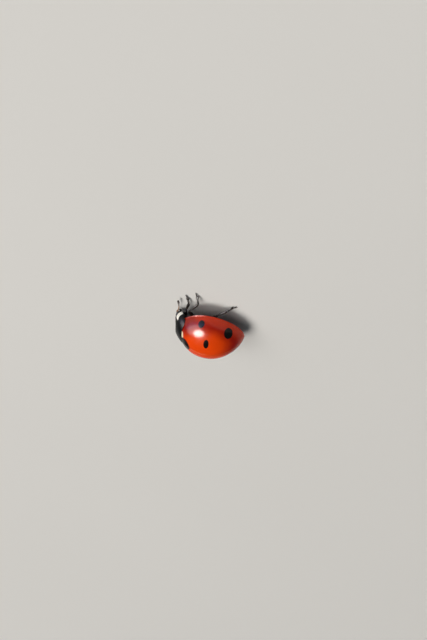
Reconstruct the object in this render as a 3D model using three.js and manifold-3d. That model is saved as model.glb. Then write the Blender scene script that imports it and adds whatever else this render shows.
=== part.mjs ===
// A seven-spot ladybird standing on its six feet, life size.
// Millimetres, +Z up, head towards -Y, the animal's left at +X. The origin is on the
// floor, under the middle of the animal. Everything is first modelled in the body's own
// frame (origin where the wing cases meet at their base, at the height of their rims);
// the body is then lifted and tipped, while the legs are placed where they stand.
import * as THREE from "three";
import { mergeVertices } from "three/addons/utils/BufferGeometryUtils.js";
import Module from "manifold-3d";

const wasm = await Module();
wasm.setup();

// ---- driving dimensions ----
const gap = 0.04; // clearance between neighbouring pieces
const wall = 0.5; // thickness of the wing cases and the neck shield
const limb = 0.25; // radius of legs and feelers
const sides = [["left", 1], ["right", -1]];

// Wing cases together: one dome over the back.
const dome = {
  length: 5.45,
  front: -0.59, // where the dome would close in front of the base
  halfWidth: 2.55,
  widestAt: 0.36, // share of the length from the base
  baseWidth: 0.664, // share of the half width at the base
  crown: 2.62,
  highestAt: 0.43,
  baseCrown: 0.602,
  tailWidth: 1.74, // how full the tail is in plan: 2 would be an ellipse
  tailFall: 1.55, // and from the side
};
// The wing cases' base margin, from the shoulder to the midline.
const baseMargin = [[1.95, 0.12], [1.62, -0.03], [1.3, -0.17], [0.85, -0.28], [0.42, -0.23], [0, -0.14]];
const belly = { depth: 0.52, waist: 2.02 }; // waist: where thorax and abdomen meet
const throat = { depth: 0.62, floor: -0.58 }; // the front of the trunk, under the shield
const hipRadii = [0.36, 0.3, 0.27];
const scutellum = { halfWidth: 0.26, front: -0.4, tip: 0.34 };

// Neck shield (pronotum), in its own frame, pitched nose-down about its hind corners.
const shield = {
  pitch: 55,
  pivot: [0, -0.06, 0.1],
  halfWidth: 1.74,
  crown: 0.93,
  hind: 1.4, // how far its dome would run behind the hind corners
  nose: 1.22, // how far it would run in front of them
  fullness: 0.32, // how square its outline is: 1 would be an ellipse
  bay: { front: 0.19, depth: 0.59, halfWidth: 1.2 }, // the notch the head sits in
};

// Head, pitched face forward.
const head = {
  pitch: 75,
  centre: [0, -0.8, -0.64],
  halfWidth: 0.88,
  halfDepth: 0.29,
  halfLength: 0.66,
  fullness: 0.62,
};
const eye = { at: [0.8, -0.82, -0.8], radii: [0.22, 0.27, 0.36] };
const antenna = { root: [0.56, -0.96, -1.12], bend: [1.35, -0.8, -1.15], tip: [2.4, -0.88, -1.14] };
const labrum = { at: [0, -1, -1.25], radii: [0.38, 0.22, 0.17] };
const mandible = { at: [0.26, -0.82, -1.3], radii: [0.22, 0.26, 0.16] };
const palp = { root: [0.42, -0.5, -1.14], tip: [0.82, -0.48, -1.24], radius: 0.18 };

// How the body stands: how high its own frame's origin is, and how far its front is up.
const stance = { lift: 1.5, tip: 4 };

// Legs: hip in the body's frame, then knee, ankle and foot where they stand, measured
// from the point of the floor under the body's origin.
const legs = {
  fore: {
    hip: [0.48, -0.2, -0.58],
    knee: [1.55, -0.22, 0.68],
    ankle: [2.42, 0.04, 0.42],
    foot: [3.02, -0.22, 0.2],
  },
  mid: {
    hip: [0.8, 0.86, -0.52],
    knee: [2.14, 0.2, 1.04],
    ankle: [2.95, 0.98, 0.62],
    foot: [3.68, 0.7, 0.2],
  },
  hind: {
    hip: [0.86, 1.98, -0.5],
    knee: [1.95, 2.8, 0.76],
    ankle: [2.52, 3.62, 0.48],
    foot: [2.84, 4.3, 0.2],
  },
};

// ---- colours and finishes ----
const finishes = {
  wingCase: { color: 0xc9380c, roughness: 0.2, metalness: 0 },
  black: { color: 0x0d0d0e, roughness: 0.25, metalness: 0 },
  underside: { color: 0x16130f, roughness: 0.5, metalness: 0 },
  eye: { color: 0x14161a, roughness: 0.15, metalness: 0 },
  feeler: { color: 0x6b4a1e, roughness: 0.45, metalness: 0 },
  leg: { color: 0x111111, roughness: 0.35, metalness: 0 },
};
const materials = Object.fromEntries(
  Object.entries(finishes).map(([name, values]) => [
    name,
    Object.assign(new THREE.MeshStandardMaterial(values), { name }),
  ]),
);

// ---- helpers ----
// A closed geometry as a solid that can be joined and cut.
function solidOf(geometry) {
  const bare = geometry.clone();
  bare.deleteAttribute("normal");
  bare.deleteAttribute("uv");
  const merged = mergeVertices(bare, 1e-4);
  return new wasm.Manifold(
    new wasm.Mesh({
      numProp: 3,
      vertProperties: merged.getAttribute("position").array,
      triVerts: new Uint32Array(merged.index.array),
    }),
  );
}

// A sphere with its poles on Y, each point moved by place(along, across, up, ring): along
// is -1 at the front pole and 1 at the back, across and up are the unit direction from the
// axis, and ring is the sphere's own radius there.
function shaped(place, around, rings) {
  const geometry = new THREE.SphereGeometry(1, around, rings);
  const points = geometry.getAttribute("position");
  for (let i = 0; i < points.count; i++) {
    const [x, y, z] = [points.getX(i), points.getY(i), points.getZ(i)];
    const ring = Math.hypot(x, z);
    const axis = ring < 1e-6;
    points.setXYZ(i, ...place(y, axis ? 0 : x / ring, axis ? 0 : z / ring, axis ? 0 : ring));
  }
  return geometry;
}

function ellipsoid([x, y, z], radii, around = 12, rings = 8) {
  return solidOf(new THREE.SphereGeometry(1, around, rings).scale(...radii).translate(x, y, z));
}

// Tips a geometry nose-down about the X axis and sets it at a point.
function pitched(geometry, degrees, [x, y, z]) {
  return solidOf(geometry.rotateX(THREE.MathUtils.degToRad(degrees)).translate(x, y, z));
}

// A flat outline in X and Y as an upright prism.
function prism(shape, low, high) {
  const geometry = new THREE.ExtrudeGeometry(shape, {
    depth: high - low,
    bevelEnabled: false,
    curveSegments: 6,
  });
  return solidOf(geometry.translate(0, 0, low));
}

// A rod with round ends between two points.
function rod(from, to, radius) {
  const span = new THREE.Vector3().subVectors(to, from);
  const geometry = new THREE.CapsuleGeometry(radius, span.length(), 2, 8);
  const turn = new THREE.Quaternion().setFromUnitVectors(
    new THREE.Vector3(0, 1, 0),
    span.clone().normalize(),
  );
  const centre = new THREE.Vector3().addVectors(from, to).multiplyScalar(0.5);
  return solidOf(geometry.applyQuaternion(turn).translate(centre.x, centre.y, centre.z));
}

const point = ([x, y, z], sign = 1) => new THREE.Vector3(sign * x, y, z);

// ---- the dome over the back ----
function falling(share, fullness) {
  return Math.pow(Math.max(0, 1 - share * share), 1 / fullness);
}

function rising(base, share) {
  return Math.sqrt(Math.max(0, 1 - (1 - base * base) * share * share));
}

function halfWidthAt(y) {
  const [t, k] = [y / dome.length, dome.widestAt];
  const share = t > k ? falling((t - k) / (1 - k), dome.tailWidth) : rising(dome.baseWidth, (k - t) / k);
  return dome.halfWidth * share;
}

function crownAt(y) {
  const [t, k] = [y / dome.length, dome.highestAt];
  const share = t > k ? falling((t - k) / (1 - k), dome.tailFall) : rising(dome.baseCrown, (k - t) / k);
  return dome.crown * share;
}

// The dome shrunk by an inset; below the rim it is as deep as asked.
function domeSolid(inset, depth, around = 32, rings = 20) {
  const middle = (dome.length + dome.front) / 2;
  const half = (dome.length - dome.front) / 2;
  const across = (dome.halfWidth - inset) / dome.halfWidth;
  const up = (dome.crown - inset) / dome.crown;
  const along = (half - 0.75 * inset) / half;
  return solidOf(
    shaped((v, c, s, ring) => {
      const y = middle + half * v;
      const height = s > 0 ? crownAt(y) * up : depth * Math.sqrt(ring);
      const moved = middle - 0.25 * inset + half * along * v;
      return [ring ? c * halfWidthAt(y) * across : 0, moved, ring ? s * height : 0];
    }, around, rings),
  );
}

// Everything in front of the wing cases' base margin, which runs forward at each shoulder.
function frontOfBase(shift) {
  const right = baseMargin.map(([x, y]) => new THREE.Vector2(-x, y + shift));
  const left = baseMargin.slice(0, -1).reverse().map(([x, y]) => new THREE.Vector2(x, y + shift));
  const shape = new THREE.Shape();
  const edge = shield.halfWidth + 0.5; // clear of everything at the front
  shape.moveTo(-edge, -edge);
  shape.lineTo(-edge, right[0].y);
  shape.lineTo(right[0].x, right[0].y);
  shape.splineThru([...right.slice(1), ...left]);
  shape.lineTo(edge, right[0].y);
  shape.lineTo(edge, -edge);
  shape.closePath();
  return prism(shape, -2, 3);
}

function scutellumPrism(grow) {
  const { halfWidth, front, tip } = scutellum;
  const shape = new THREE.Shape();
  shape.moveTo(-halfWidth - grow, front);
  shape.lineTo(halfWidth + grow, front);
  shape.lineTo(halfWidth + grow, -0.06);
  shape.quadraticCurveTo(halfWidth * 0.8 + grow, tip * 0.3, 0, tip + grow * 2);
  shape.quadraticCurveTo(-halfWidth * 0.8 - grow, tip * 0.3, -halfWidth - grow, -0.06);
  shape.closePath();
  return prism(shape, 0.5, 3);
}

// ---- the neck shield ----
function shieldDome(inset, depth, around = 24, rings = 14) {
  const middle = (shield.hind - shield.nose) / 2;
  const half = (shield.hind + shield.nose) / 2 - inset * 0.5;
  const geometry = shaped((v, c, s, ring) => {
    const y = middle + half * v;
    const full = Math.pow(ring, shield.fullness);
    const width = shield.halfWidth - 0.1 * Math.pow(y + 0.3, 2) - inset;
    const height = s > 0 ? shield.crown - 0.06 * Math.max(0, -y) - inset : depth;
    return [c * width * full, y, s * height * full];
  }, around, rings);
  return pitched(geometry, shield.pitch, shield.pivot);
}

// The notch in the shield's front margin: a post standing square to the shield.
function headBay(grow) {
  const { front, depth, halfWidth } = shield.bay;
  const radius = (halfWidth ** 2 + depth ** 2) / (2 * depth);
  const post = new THREE.CylinderGeometry(radius, radius, 5, 36)
    .rotateX(Math.PI / 2)
    .translate(0, -(front + radius - grow), 1.5);
  return pitched(post, shield.pitch, shield.pivot);
}

function neckShield(grow) {
  return shieldDome(-grow, 0.05 + grow)
    .subtract(shieldDome(wall - grow, 0.6, 16, 10))
    .intersect(frontOfBase(-gap / 2 + grow))
    .subtract(headBay(-grow));
}

// ---- head ----
function skull(grow) {
  const { halfWidth, halfDepth, halfLength } = head;
  const geometry = shaped((v, c, s, ring) => {
    const full = Math.pow(ring, head.fullness);
    return [c * (halfWidth + grow) * full, v * (halfLength + grow), s * (halfDepth + grow) * full];
  }, 18, 10);
  return pitched(geometry, head.pitch, head.centre);
}

const mirroredX = ([x, y, z], sign) => [sign * x, y, z];
const grown = (radii, grow) => radii.map((radius) => radius + grow);
const eyeBall = (sign, grow) => ellipsoid(mirroredX(eye.at, sign), grown(eye.radii, grow));
const upperLip = (grow) => ellipsoid(labrum.at, grown(labrum.radii, grow));
const jaw = (sign, grow) => ellipsoid(mirroredX(mandible.at, sign), grown(mandible.radii, grow), 10, 6);

function feeler(sign, grow) {
  const [root, bend, tip] = [antenna.root, antenna.bend, antenna.tip].map((at) => point(at, sign));
  return rod(root, bend, limb + grow).add(rod(bend, tip, limb + grow));
}

function headPieces() {
  const bothEyes = eyeBall(1, gap).add(eyeBall(-1, gap));
  const cover = neckShield(gap);
  const pieces = { head: [skull(0).subtract(bothEyes).subtract(cover), materials.black] };
  const shut = skull(gap);
  pieces.labrum = [upperLip(0).subtract(shut), materials.black];
  for (const [side, sign] of sides) {
    const jawSpace = wasm.Manifold.union([shut, upperLip(gap), headHalf(-sign)]);
    pieces[`eye_${side}`] = [eyeBall(sign, 0).subtract(cover), materials.eye];
    pieces[`mandible_${side}`] = [jaw(sign, 0).subtract(jawSpace), materials.feeler];
    const feelerSpace = wasm.Manifold.union([shut, upperLip(gap), bothEyes, cover, jaw(sign, gap)]);
    pieces[`antenna_${side}`] = [feeler(sign, 0).subtract(feelerSpace), materials.feeler];
    const palpSpace = wasm.Manifold.union([shut, jaw(sign, gap), feeler(sign, gap)]);
    const stalk = rod(point(palp.root, sign), point(palp.tip, sign), palp.radius);
    pieces[`palp_${side}`] = [stalk.subtract(palpSpace), materials.feeler];
  }
  return pieces;
}

// One side of the midline plane, reaching half a clearance over it.
function headHalf(sign) {
  return solidOf(new THREE.BoxGeometry(4, 4, 4).translate(sign * (2 - gap / 2), 0, 0));
}

// ---- trunk ----
function hips(grow) {
  const balls = [];
  for (const leg of Object.values(legs)) {
    for (const [, sign] of sides) balls.push(coxa(leg, sign, grow));
  }
  return wasm.Manifold.union(balls);
}

function coxa(leg, sign, grow) {
  return ellipsoid(mirroredX(leg.hip, sign), grown(hipRadii, grow), 10, 6);
}

function trunk() {
  const room = hips(gap);
  const inside = domeSolid(wall + gap, belly.depth, 24, 16)
    .subtract(frontOfBase(gap / 2))
    .subtract(room);
  const neck = shieldDome(wall + gap, throat.depth, 16, 10)
    .intersect(frontOfBase(-gap / 2))
    .trimByPlane([0, 0, 1], throat.floor)
    .subtract(skull(gap))
    .subtract(eyeBall(1, gap))
    .subtract(eyeBall(-1, gap))
    .subtract(room);
  return {
    prothorax: [neck, materials.underside],
    thorax: [inside.trimByPlane([0, -1, 0], -(belly.waist - gap / 2)), materials.underside],
    abdomen: [inside.trimByPlane([0, 1, 0], belly.waist + gap / 2), materials.underside],
  };
}

// Everything a thigh has to keep clear of.
function trunkSpace() {
  return wasm.Manifold.union([
    domeSolid(wall, belly.depth + gap, 24, 16).subtract(frontOfBase(-gap / 2)),
    shieldDome(wall, throat.depth + gap, 16, 10)
      .intersect(frontOfBase(gap / 2))
      .trimByPlane([0, 0, 1], throat.floor - gap),
    skull(gap),
    eyeBall(1, gap),
    eyeBall(-1, gap),
  ]);
}

function wingCases() {
  const shell = domeSolid(0, 0.2)
    .subtract(domeSolid(wall, 0.3, 24, 16))
    .trimByPlane([0, 0, 1], 0)
    .subtract(frontOfBase(gap / 2));
  const pieces = { scutellum: [shell.intersect(scutellumPrism(0)), materials.black] };
  const cut = shell.subtract(scutellumPrism(gap));
  for (const [side, sign] of sides) {
    pieces[`elytron_${side}`] = [cut.trimByPlane([sign, 0, 0], gap / 2), materials.wingCase];
  }
  return pieces;
}

// ---- legs, where they stand ----
const standing = new THREE.Matrix4()
  .makeTranslation(0, 0, stance.lift)
  .multiply(new THREE.Matrix4().makeRotationX(-THREE.MathUtils.degToRad(stance.tip)));

// Keeps what lies beyond a plane through a point, less half the clearance.
function beyond(solid, at, direction) {
  return solid.trimByPlane(direction.toArray(), direction.dot(at) + gap / 2);
}

// One length of a leg, parted from its neighbours by a thin cut along each joint's
// bisecting plane; a foot is trimmed flat on the floor.
function legPiece(points, index) {
  const [from, to] = [points[index], points[index + 1]];
  const along = new THREE.Vector3().subVectors(to, from).normalize();
  let piece = rod(from, to, limb);
  if (index > 0) {
    const before = new THREE.Vector3().subVectors(from, points[index - 1]).normalize();
    piece = beyond(piece, from, before.add(along).normalize());
  }
  if (index + 2 < points.length) {
    const after = new THREE.Vector3().subVectors(points[index + 2], to).normalize();
    piece = beyond(piece, to, after.add(along).normalize().negate());
  }
  return piece.trimByPlane([0, 0, 1], 0);
}

function legPieces() {
  const pieces = {};
  const space = trunkSpace().transform(standing.toArray());
  for (const [pair, leg] of Object.entries(legs)) {
    for (const [side, sign] of sides) {
      const points = [
        point(leg.hip, sign).applyMatrix4(standing),
        ...[leg.knee, leg.ankle, leg.foot].map((at) => point(at, sign)),
      ];
      const hip = coxa(leg, sign, gap).transform(standing.toArray());
      ["femur", "tibia", "tarsus"].forEach((part, index) => {
        const piece = legPiece(points, index);
        const cleared = index === 0 ? piece.subtract(hip).subtract(space) : piece;
        pieces[`${part}_${pair}_${side}`] = [cleared, materials.leg];
      });
    }
  }
  return pieces;
}

function coxae() {
  const pieces = {};
  const shut = skull(gap);
  for (const [pair, leg] of Object.entries(legs)) {
    for (const [side, sign] of sides) {
      pieces[`coxa_${pair}_${side}`] = [coxa(leg, sign, 0).subtract(shut), materials.leg];
    }
  }
  return pieces;
}

// ---- assembly ----
function meshOf(name, solid, material) {
  const made = solid.getMesh();
  const geometry = new THREE.BufferGeometry();
  geometry.setAttribute("position", new THREE.BufferAttribute(made.vertProperties, 3));
  geometry.setIndex(new THREE.BufferAttribute(made.triVerts, 1));
  geometry.computeVertexNormals();
  const mesh = new THREE.Mesh(geometry, material);
  mesh.name = name;
  return mesh;
}

const ladybird = new THREE.Group();
ladybird.name = "ladybird";
const lifted = {
  ...wingCases(),
  pronotum: [neckShield(0), materials.black],
  ...headPieces(),
  ...trunk(),
  ...coxae(),
};
for (const [name, [solid, material]] of Object.entries(lifted)) {
  ladybird.add(meshOf(name, solid.transform(standing.toArray()), material));
}
for (const [name, [solid, material]] of Object.entries(legPieces())) {
  ladybird.add(meshOf(name, solid, material));
}

// The middle of the animal's outline goes over the origin.
const outline = new THREE.Box3().setFromObject(ladybird);
const middle = outline.getCenter(new THREE.Vector3());
for (const mesh of ladybird.children) mesh.geometry.translate(-middle.x, -middle.y, 0);

export default ladybird;
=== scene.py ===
import math

import bpy
from mathutils import Matrix, Vector


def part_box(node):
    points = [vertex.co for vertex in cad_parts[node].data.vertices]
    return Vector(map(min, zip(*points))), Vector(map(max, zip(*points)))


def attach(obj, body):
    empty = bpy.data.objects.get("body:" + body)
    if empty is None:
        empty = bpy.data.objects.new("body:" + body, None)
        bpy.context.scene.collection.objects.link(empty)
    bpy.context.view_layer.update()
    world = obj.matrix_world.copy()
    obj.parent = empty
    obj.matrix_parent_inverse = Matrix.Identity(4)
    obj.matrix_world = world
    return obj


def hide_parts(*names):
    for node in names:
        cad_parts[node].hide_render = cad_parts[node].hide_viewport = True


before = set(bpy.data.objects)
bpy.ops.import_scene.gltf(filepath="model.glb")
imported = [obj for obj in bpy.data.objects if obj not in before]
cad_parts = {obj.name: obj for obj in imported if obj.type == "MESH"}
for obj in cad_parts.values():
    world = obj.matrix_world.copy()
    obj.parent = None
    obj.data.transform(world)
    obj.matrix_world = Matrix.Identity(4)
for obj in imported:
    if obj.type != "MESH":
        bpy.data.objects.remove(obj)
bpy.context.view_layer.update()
bpy.ops.object.select_all(action="DESELECT")
print("frame loaded:", len(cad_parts), "nodes")

# Pieces are modelled in millimetres in the body's own frame: the origin is where the
# wing cases meet at their base, at rim height, with the head towards -Y and the
# animal's left at +X. settle() then stands the body on the floor and turns it to metres.
millimetre = 0.001
mergeWithin = 0.0001
stance = {"lift": 1.5, "tip": 4.0}
dome = {
    "length": 5.45,
    "front": -0.59,
    "halfWidth": 2.55,
    "widestAt": 0.36,
    "baseWidth": 0.664,
    "crown": 2.62,
    "highestAt": 0.43,
    "baseCrown": 0.602,
    "tailWidth": 1.74,  # how full the tail is in plan: 2 would be an ellipse
    "tailFall": 1.55,  # and from the side
}
tip = math.radians(stance["tip"])
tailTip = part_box("elytron_left")[1].y / millimetre
slideY = tailTip - dome["length"] * math.cos(tip)
onFloor = Matrix.Translation((0, slideY, 0))
standing = onFloor @ Matrix.Translation((0, 0, stance["lift"])) @ Matrix.Rotation(-tip, 4, "X")
sides = {"left": 1, "right": -1}


def deselect():
    if bpy.context.object and bpy.context.object.mode != "OBJECT":
        bpy.ops.object.mode_set(mode="OBJECT")
    bpy.ops.object.select_all(action="DESELECT")


def choose(obj):
    deselect()
    obj.select_set(True)
    bpy.context.view_layer.objects.active = obj


def edit(obj, test=None):
    # into edit mode with the points that pass the test selected, or all of them
    choose(obj)
    bpy.ops.object.mode_set(mode="EDIT")
    bpy.ops.mesh.select_mode(type="VERT")
    bpy.ops.mesh.select_all(action="SELECT" if test is None else "DESELECT")
    if test is not None:
        bpy.ops.object.mode_set(mode="OBJECT")
        for vertex in obj.data.vertices:
            vertex.select = test(vertex.co)
        bpy.ops.object.mode_set(mode="EDIT")


def applyAll(obj):
    choose(obj)
    for modifier in list(obj.modifiers):
        bpy.ops.object.modifier_apply(modifier=modifier.name)


def smooth(obj, levels=1):
    surface = obj.modifiers.new("surface", "SUBSURF")
    surface.levels = levels
    surface.render_levels = levels
    applyAll(obj)
    bpy.ops.object.shade_smooth()


def outward(obj):
    edit(obj)
    bpy.ops.mesh.remove_doubles(threshold=mergeWithin)
    bpy.ops.mesh.normals_make_consistent(inside=False)
    deselect()


def capRing():
    # closes the selected ring with a fan of triangles
    bpy.ops.mesh.edge_face_add()
    bpy.ops.mesh.poke()


def sweep(name, outline, stations):
    # A ring in the XZ plane, carried along Y and closed at both ends. A station is
    # (y, sizeX, sizeZ, x, z).
    bpy.ops.mesh.primitive_circle_add(vertices=len(outline), radius=1)
    obj = bpy.context.object
    obj.name = name
    y, wide, high, midX, midZ = stations[0]
    for vertex, (x, z) in zip(obj.data.vertices, outline):
        vertex.co = (midX + x * wide, y, midZ + z * high)
    edit(obj)
    for before, after in zip(stations, stations[1:]):
        step = (after[3] - before[3], after[0] - before[0], after[4] - before[4])
        bpy.ops.mesh.extrude_region_move(TRANSFORM_OT_translate={"value": step})
        bpy.ops.transform.resize(
            value=(after[1] / before[1], 1, after[2] / before[2]),
            center_override=(after[3], after[0], after[4]),
        )
    capRing()
    bpy.ops.object.mode_set(mode="OBJECT")
    for vertex in obj.data.vertices:
        vertex.select = vertex.index < len(outline)
    bpy.ops.object.mode_set(mode="EDIT")
    capRing()
    deselect()
    outward(obj)
    return obj


def circleOutline(count):
    return [
        (math.sin(2 * math.pi * i / count), math.cos(2 * math.pi * i / count)) for i in range(count)
    ]


def mirrored(obj, name):
    choose(obj)
    bpy.ops.object.duplicate()
    copy = bpy.context.object
    copy.name = name
    copy.scale = (-1, 1, 1)
    bpy.ops.object.transform_apply(location=False, rotation=False, scale=True)
    outward(copy)
    return copy


def joined(pieces, name):
    deselect()
    for piece in pieces:
        piece.select_set(True)
    bpy.context.view_layer.objects.active = pieces[0]
    if len(pieces) > 1:
        bpy.ops.object.join()
    whole = bpy.context.object
    whole.name = name
    return whole


def settle(obj, node, matrix=standing):
    # stands a finished piece in the frame, in metres, in the place of its node
    choose(obj)
    obj.matrix_world = Matrix.Scale(millimetre, 4) @ matrix @ obj.matrix_world
    bpy.ops.object.transform_apply(location=True, rotation=True, scale=True)
    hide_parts(node)
    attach(obj, "root")
    deselect()
    return obj


def settlePair(left, name, material):
    # a finished left piece and its mirror image
    right = mirrored(left, name + "Right")
    for obj, side in ((left, "left"), (right, "right")):
        obj.data.materials.append(material)
        settle(obj, f"{name}_{side}")


# The dome that the wing cases make: it rises from the base and falls to the tail.
def falling(share, fullness):
    return max(0.0, 1 - share * share) ** (1 / fullness)


def rising(base, share):
    return math.sqrt(max(0.0, 1 - (1 - base * base) * share * share))


def domeShare(y, fullAt, base, fullness):
    # 1 where the dome is fullest, less toward its base and its tail
    t = y / dome["length"]
    if t > fullAt:
        return falling((t - fullAt) / (1 - fullAt), fullness)
    return rising(base, (fullAt - t) / fullAt)


def halfWidthAt(y):
    return dome["halfWidth"] * domeShare(y, dome["widestAt"], dome["baseWidth"], dome["tailWidth"])


def crownAt(y):
    return dome["crown"] * domeShare(y, dome["highestAt"], dome["baseCrown"], dome["tailFall"])


def linear(hexColour):
    channels = [int(hexColour[i : i + 2], 16) / 255 for i in (1, 3, 5)]
    return tuple(c / 12.92 if c <= 0.04045 else ((c + 0.055) / 1.055) ** 2.4 for c in channels) + (1,)


def newMaterial(name, settings):
    material = bpy.data.materials.new(name)
    material.use_nodes = True
    shader = material.node_tree.nodes["Principled BSDF"]
    for key, value in settings.items():
        shader.inputs[key].default_value = value
    return material, material.node_tree, shader


def node(tree, kind, settings=None, inputs=None):
    made = tree.nodes.new(kind)
    for key, value in (settings or {}).items():
        setattr(made, key, value)
    for key, value in (inputs or {}).items():
        if isinstance(value, bpy.types.NodeSocket):
            tree.links.new(value, made.inputs[key])
        else:
            made.inputs[key].default_value = value
    return made


def mixColours(tree, share, below, above):
    # sockets 6, 7 and 2 are the colour ones of the node's several kinds
    inputs = {0: share, 6: below, 7: above}
    return node(tree, "ShaderNodeMix", {"data_type": "RGBA"}, inputs).outputs[2]


def maths(tree, operation, first, second=0.0):
    return node(tree, "ShaderNodeMath", {"operation": operation}, {0: first, 1: second}).outputs[0]


def objectPlace(tree):
    return node(tree, "ShaderNodeTexCoord").outputs["Object"]


def noiseAt(tree, place, size, detail=2.0):
    # size is the length of one patch in millimetres
    inputs = {"Vector": place, "Scale": 1 / (size * millimetre), "Detail": detail}
    return node(tree, "ShaderNodeTexNoise", None, inputs).outputs[0]


def unevenness(tree, place, size, detail, amount):
    # noise about zero, which carries a border a little to and fro
    centred = maths(tree, "SUBTRACT", noiseAt(tree, place, size, detail), 0.5)
    return maths(tree, "MULTIPLY", centred, amount)


def foldedPlace(tree, place):
    # how far a place is from the middle plane, how high it is, and the place carried to
    # the animal's left, so that both sides are marked alike
    apart = node(tree, "ShaderNodeSeparateXYZ", None, {0: place}).outputs
    across = maths(tree, "ABSOLUTE", apart[0])
    folded = node(tree, "ShaderNodeCombineXYZ", None, {0: across, 1: apart[1], 2: apart[2]})
    return across, apart[2], folded.outputs[0]


def ramp(tree, value, low, high, bottom=0.0, top=1.0):
    inputs = {"Value": value, "From Min": low, "From Max": high, "To Min": bottom, "To Max": top}
    made = node(tree, "ShaderNodeMapRange", {"interpolation_type": "SMOOTHSTEP"}, inputs)
    return made.outputs["Result"]


def bumped(tree, shader, height, distance):
    inputs = {"Height": height, "Distance": distance * millimetre, "Strength": 1.0}
    bump = node(tree, "ShaderNodeBump", None, inputs)
    tree.links.new(bump.outputs["Normal"], shader.inputs["Normal"])


def punctures(tree, place, spacing, share):
    # fine pits that the shell is stippled with, each a small part of its cell
    inputs = {"Vector": place, "Scale": 1 / (spacing * millimetre), "Randomness": 0.75}
    cells = node(tree, "ShaderNodeTexVoronoi", None, inputs)
    return ramp(tree, cells.outputs["Distance"], 0.0, share)


def stippled(tree, shader, place, spacing, share, waves, swell, depth):
    # punctures over slow waves, which break up the reflections
    pits = punctures(tree, place, spacing, share)
    slow = maths(tree, "MULTIPLY", noiseAt(tree, place, waves), swell)
    bumped(tree, shader, maths(tree, "ADD", slow, pits), depth)


def spotMask(tree, place, centre, radii, edge=0.05, wobble=None):
    # 1 inside an ellipsoid about a point of the body, 0 outside, blurred over an edge
    middle = standing @ Vector(centre) * millimetre
    away = node(tree, "ShaderNodeVectorMath", {"operation": "SUBTRACT"}, {0: place, 1: tuple(middle)})
    sizes = tuple(1 / (radius * millimetre) for radius in radii)
    scaled = {0: away.outputs[0], 1: sizes}
    scaled = node(tree, "ShaderNodeVectorMath", {"operation": "MULTIPLY"}, scaled)
    span = node(tree, "ShaderNodeVectorMath", {"operation": "LENGTH"}, {0: scaled.outputs[0]})
    span = span.outputs["Value"]
    if wobble is not None:
        span = maths(tree, "ADD", span, wobble)
    return ramp(tree, span, 1 - edge, 1 + edge, 1.0, 0.0)


wingCaseLook = {
    "orange": "#E94600",
    "red": "#A61400",
    # painted reflection: the lighter red low on the flanks
    "rim": "#D8380A",
    # painted shade: the darker red that the shoulders are painted with
    "shoulder": "#7C0C00",
    "shade": ((1.95, 0.15, 0.75), (0.9, 1.1, 1.1), 0.5),  # painted shade: darkest red, at the shoulders
    "shadeShare": 0.7,
    "glow": ((1.0, 2.05, 2.3), (1.5, 2.45, 1.2), 0.45),  # painted light: most orange on the back, where the light falls
    "glowPatches": {"size": 1.3, "detail": 3.0, "amount": 0.5},
    "paintedReflectionHeight": (1.6, 2.5),  # painted reflection, lighter red low on the flanks: full below the first height from the floor, gone at the second
    "paintedReflectionShare": 0.8,
    # painted highlight: lighter orange along the seam
    "seam": "#DE5A16",
    "paintedHighlightWidth": (0.04, 0.1),
    "paintedHighlightShare": 0.45,
    "spot": "#0A0908",
    "spotEdge": 0.05,
    "cream": "#F3E2BE",
    "creamEdge": 0.12,
    "border": {"size": 0.35, "detail": 1.0, "amount": 0.14},
    "stipple": {"spacing": 0.055, "share": 0.42, "waves": 0.5, "swell": 1.2, "depth": 0.004},
    "spots": [
        ((2.37, 1.61, 0.85), (0.37, 0.3, 0.37)),
        ((1.25, 2.27, 2.24), (0.44, 0.24, 0.42)),
        ((1.62, 4.12, 0.98), (0.5, 0.42, 0.5)),
    ],
    "scutellarSpot": [((0, 0.22, 1.85), (0.66, 0.52, 1.2))],
    "creamPatch": ((0.58, -0.16, 1.36), (0.42, 0.17, 0.6)),
}


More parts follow.
